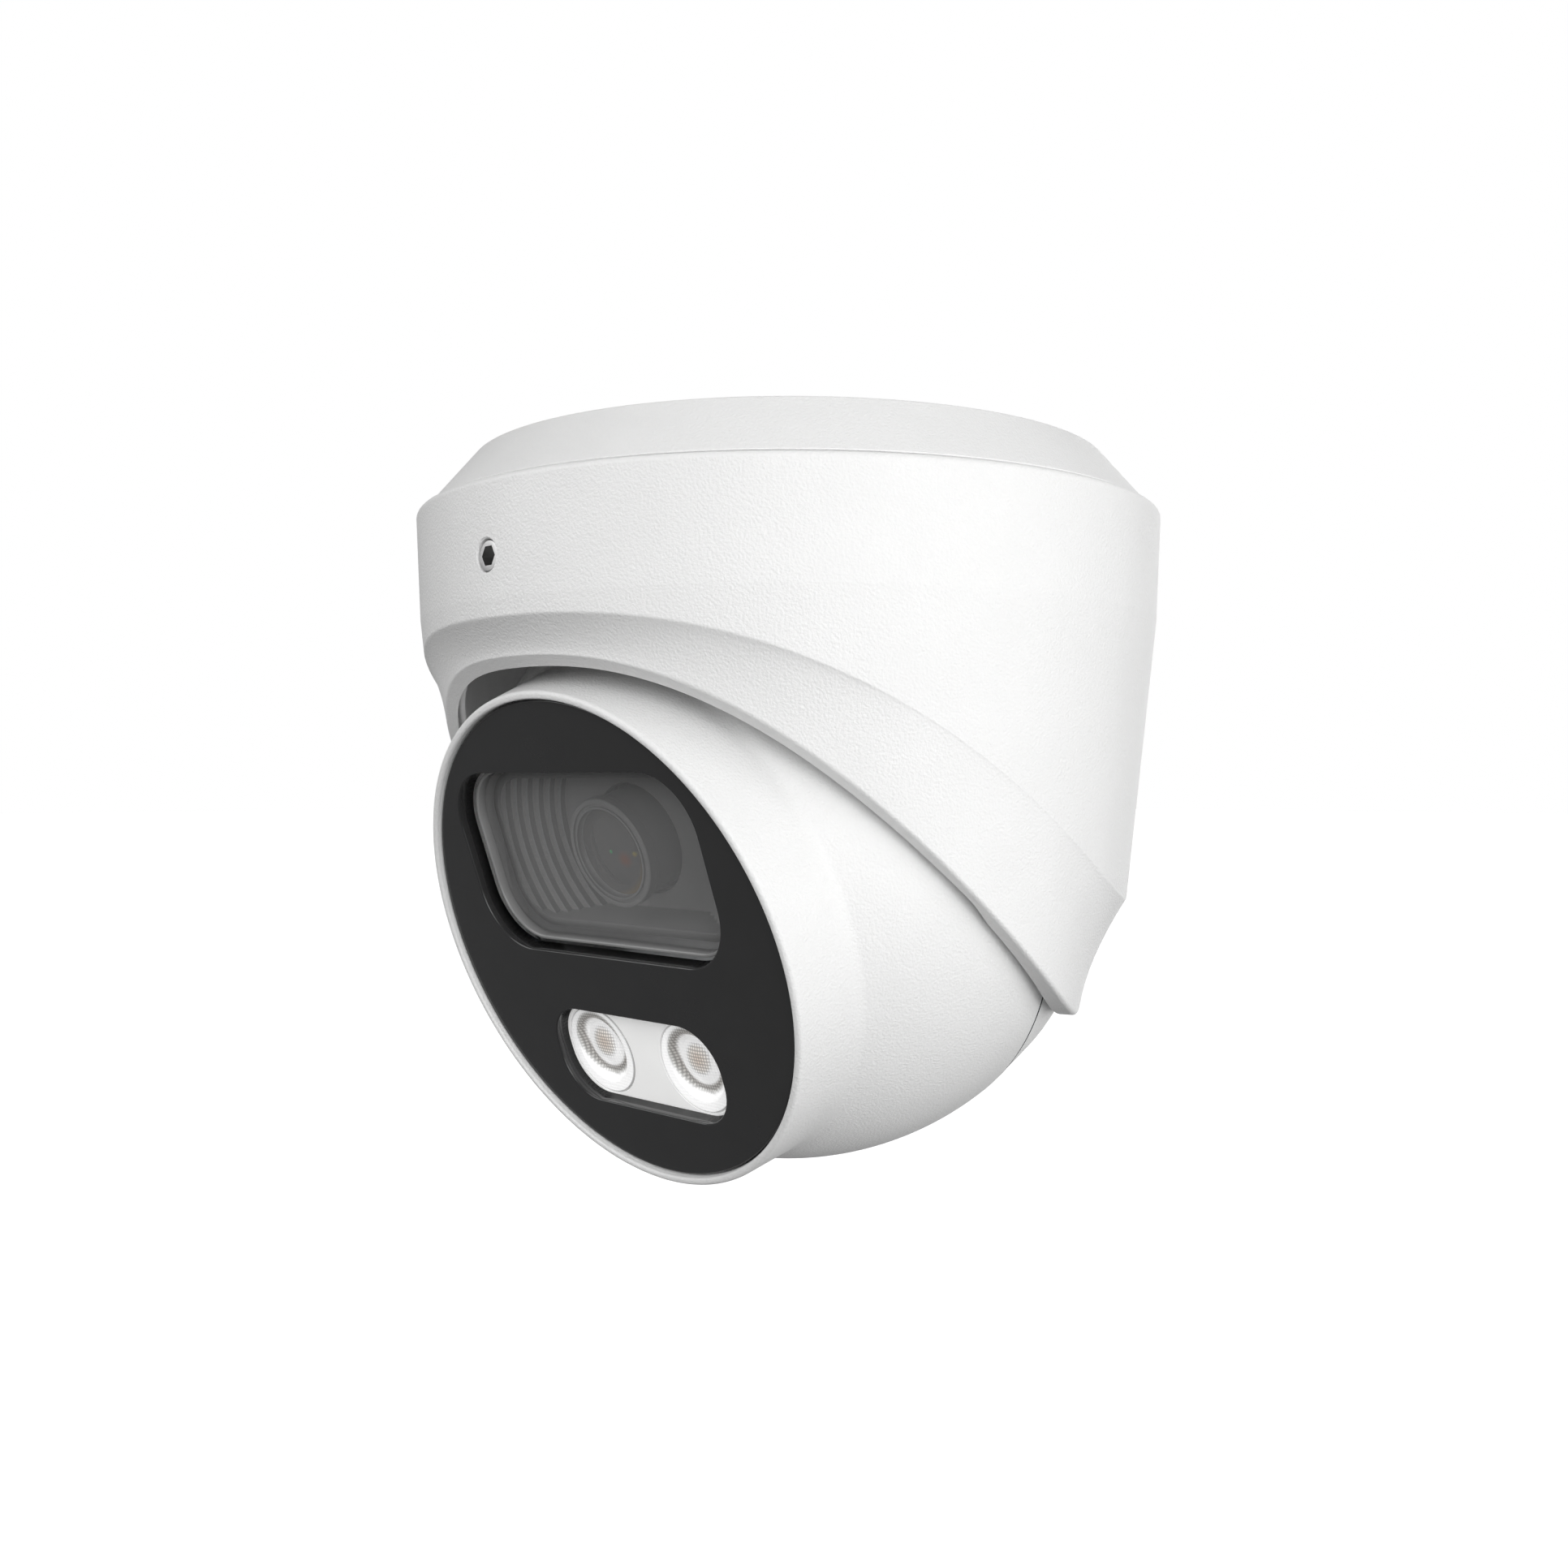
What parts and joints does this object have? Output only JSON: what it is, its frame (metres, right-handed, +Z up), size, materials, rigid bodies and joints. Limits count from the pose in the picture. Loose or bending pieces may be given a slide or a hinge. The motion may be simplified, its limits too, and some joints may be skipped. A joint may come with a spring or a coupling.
{
  "type": "turret security camera",
  "caption": "Round turret camera for a ceiling: a ball with a lens window and a lamp window sits in a housing with a slanted lip under a shallow base.",
  "frame": {"origin": "centre of the mounting base's ceiling face", "axes": "+Z up through the ceiling, -Y towards the side the face plate looks at, +X to the right seen from behind the camera"},
  "size_m": [0.11, 0.11, 0.1028],
  "materials": {
    "powder_coat": "white powder coat with a fine texture",
    "black_gloss": "gloss black",
    "grey_rubber": "matt grey",
    "black_rubber": "matt black",
    "light_rubber": "satin light grey",
    "dark_plastic": "matt dark grey",
    "baffle_plastic": "matt grey",
    "lens_black": "black anodised",
    "optical_glass": "coated and polished",
    "clear_pane": "clear polished",
    "steel": "bright zinc plate",
    "cast_alloy": "as cast",
    "brass": "turned",
    "circuit_board": "green solder mask",
    "chip_black": "matt black",
    "sensor": "dark polished",
    "white_plastic": "white",
    "lamp_optic": "clear moulded",
    "phosphor": "yellow phosphor"
  },
  "bodies": {
    "base": {"mounting_base": "powder_coat", "base_gasket": "black_rubber", "cable_grommet": "black_rubber", "snap_ring": "steel"},
    "housing": {"housing": "powder_coat", "lip_liner": "grey_rubber", "pivot_pins": "steel"},
    "set_screw": {"set_screw": "steel"},
    "yoke": {"tilt_yoke": "steel"},
    "ball": {"front_shell": "powder_coat", "rear_shell": "powder_coat", "seam_gasket": "grey_rubber", "shell_screws": "steel", "cable_gland": "black_rubber", "face_plate": "black_gloss", "window_gasket": "light_rubber", "window_pane": "clear_pane", "lens_shroud": "dark_plastic", "baffle_plate": "baffle_plastic", "lens_barrel": "lens_black", "lens_ring": "lens_black", "front_element": "optical_glass", "rear_element": "optical_glass", "lens_holder": "dark_plastic", "image_sensor": "sensor", "sensor_board": "circuit_board", "inner_bracket": "cast_alloy", "bracket_screws": "steel", "standoffs": "brass", "main_board": "circuit_board", "board_chips": "chip_black", "heat_sink": "cast_alloy", "board_screws": "steel", "lamp_reflector": "white_plastic", "lamp_optics": "lamp_optic", "lamp_leds": "phosphor", "lamp_board": "white_plastic"}
  },
  "joints": [
    {"name": "pan", "type": "hinge", "parent": "base", "child": "housing", "pos_m": [0, 0, -0.0559], "axis": [0, 0, 1], "range_deg": [-180, 180]},
    {"name": "tilt", "type": "hinge", "parent": "housing", "child": "yoke", "pos_m": [0, 0, -0.0559], "axis": [1, 0, 0], "range_deg": [-7.5, 60]},
    {"name": "roll", "type": "hinge", "parent": "yoke", "child": "ball", "pos_m": [0, 0, -0.0559], "axis": [0, -0.9412, -0.3379], "range_deg": [-180, 180]},
    {"name": "lock_turn", "type": "hinge", "parent": "housing", "child": "set_screw", "pos_m": [0, -0.052, -0.0182], "axis": [0, -1, 0], "range_deg": [-180, 180]}
  ]
}
